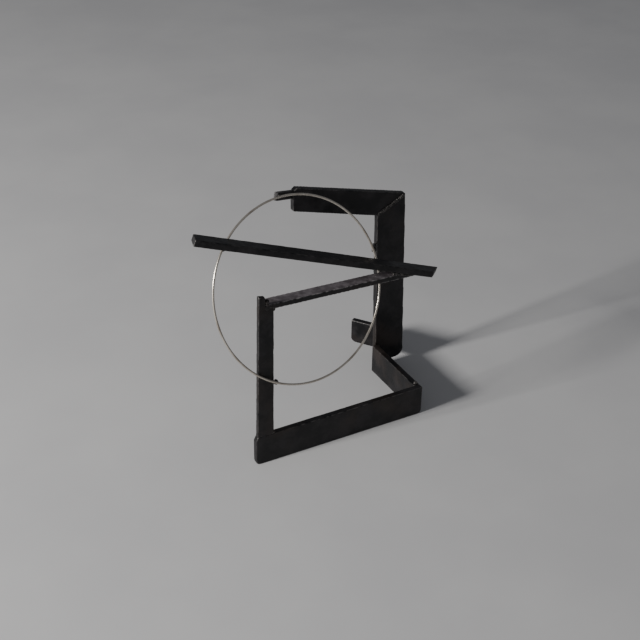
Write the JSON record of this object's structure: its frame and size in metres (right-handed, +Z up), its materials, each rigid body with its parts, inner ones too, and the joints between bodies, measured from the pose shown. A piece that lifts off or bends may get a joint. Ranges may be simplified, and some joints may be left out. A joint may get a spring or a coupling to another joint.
{
  "type": "abstract desk sculpture",
  "caption": "Abstract welded desk sculpture: blackened flat-iron bars on an L-shaped base, rising round a thin leaning steel ring.",
  "frame": {"origin": "middle of the plan box, on the surface the sculpture stands on", "axes": "+X along the front bar to the right, +Y from the front bar to the back, +Z up"},
  "size_m": [0.2464, 0.1402, 0.2361],
  "materials": {
    "heavy_iron": "blackened hot-rolled flat bar, satin wax",
    "strip_iron": "blackened narrow flat bar, satin wax",
    "ring_steel": "bright drawn wire, lightly dulled",
    "weld_metal": "blackened weld bead, slightly glossy"
  },
  "bodies": {
    "root": {"front_bar": "heavy_iron", "side_bar": "heavy_iron", "tall_post": "heavy_iron", "top_bar": "heavy_iron", "rear_bar": "heavy_iron", "front_post": "strip_iron", "long_strip": "strip_iron", "inclined_strip": "strip_iron", "top_link": "strip_iron", "side_link": "strip_iron", "ring": "ring_steel", "weld_corner_top": "weld_metal", "weld_corner_inside": "weld_metal", "weld_corner_outside": "weld_metal", "weld_foot_back": "weld_metal", "weld_foot_right": "weld_metal", "weld_post_head": "weld_metal", "weld_post_side": "weld_metal", "weld_side_outside": "weld_metal", "weld_side_inside": "weld_metal", "weld_mitre_front": "weld_metal", "weld_mitre_back": "weld_metal", "weld_rear_inside": "weld_metal", "weld_rear_outside": "weld_metal", "weld_top_link": "weld_metal", "weld_side_link": "weld_metal", "weld_ring_top": "weld_metal", "weld_ring_side": "weld_metal", "weld_ring_front": "weld_metal", "weld_ring_left": "weld_metal", "weld_ring_right": "weld_metal", "weld_strips_front": "weld_metal"}
  },
  "joints": []
}
